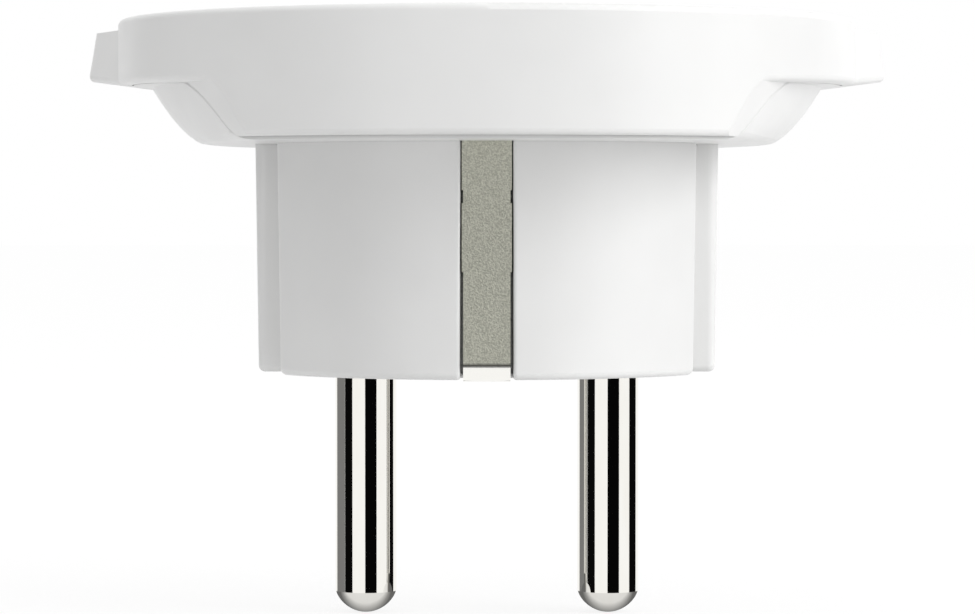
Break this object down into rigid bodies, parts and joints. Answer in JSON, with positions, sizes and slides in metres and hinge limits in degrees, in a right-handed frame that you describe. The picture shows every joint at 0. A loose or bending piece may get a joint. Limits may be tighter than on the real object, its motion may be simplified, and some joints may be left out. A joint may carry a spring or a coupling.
{
  "type": "travel adapter",
  "caption": "Round travel adapter: a socket face with shuttered flat-pin holes on a drum with finger ears, over a round-pin plug with side earth clips.",
  "frame": {"origin": "centre of the plug's face, the flat end from which the two round pins stand", "axes": "+Z from the plug's face to the socket's face, X through the two round pins, -Y to the front earth clip"},
  "size_m": [0.0632, 0.0574, 0.0463],
  "materials": {
    "white_plastic": "white moulded plastic with a soft satin gloss",
    "nickel_pin": "polished nickel plating, a mirror with a slightly warm tone",
    "blasted_nickel": "grain-blasted nickel plating, dull grey-beige",
    "contact_brass": "stamped brass strip, bare",
    "spring_steel": "bright spring steel",
    "inner_plastic": "pale grey moulded plastic",
    "shutter_plastic": "white moulded plastic, matt",
    "screw_steel": "zinc-plated steel"
  },
  "bodies": {
    "adapter_body": {"outer_shell": "white_plastic", "plug_housing": "white_plastic", "line_pin": "nickel_pin", "neutral_pin": "nickel_pin", "front_earth_clip": "blasted_nickel", "rear_earth_clip": "blasted_nickel", "line_contact": "contact_brass", "neutral_contact": "contact_brass", "earth_contact": "contact_brass", "line_contact_spring": "spring_steel", "neutral_contact_spring": "spring_steel", "earth_contact_spring": "spring_steel", "earth_bridge": "contact_brass", "earth_rivet": "contact_brass", "earth_pin_sleeve": "contact_brass", "contact_carrier": "inner_plastic", "shutter_frame": "inner_plastic", "shutter_spring": "spring_steel", "frame_screws": "screw_steel", "housing_screws": "screw_steel"},
    "shutter_slide_body": {"shutter": "shutter_plastic"}
  },
  "joints": [
    {"name": "shutter_slide", "type": "slide", "parent": "adapter_body", "child": "shutter_slide_body", "axis": [0, -1, 0], "range_m": [0, 0.0056], "stiffness_N_per_m": 120, "springref_m": -0.006, "deforming": ["shutter_spring"]}
  ]
}
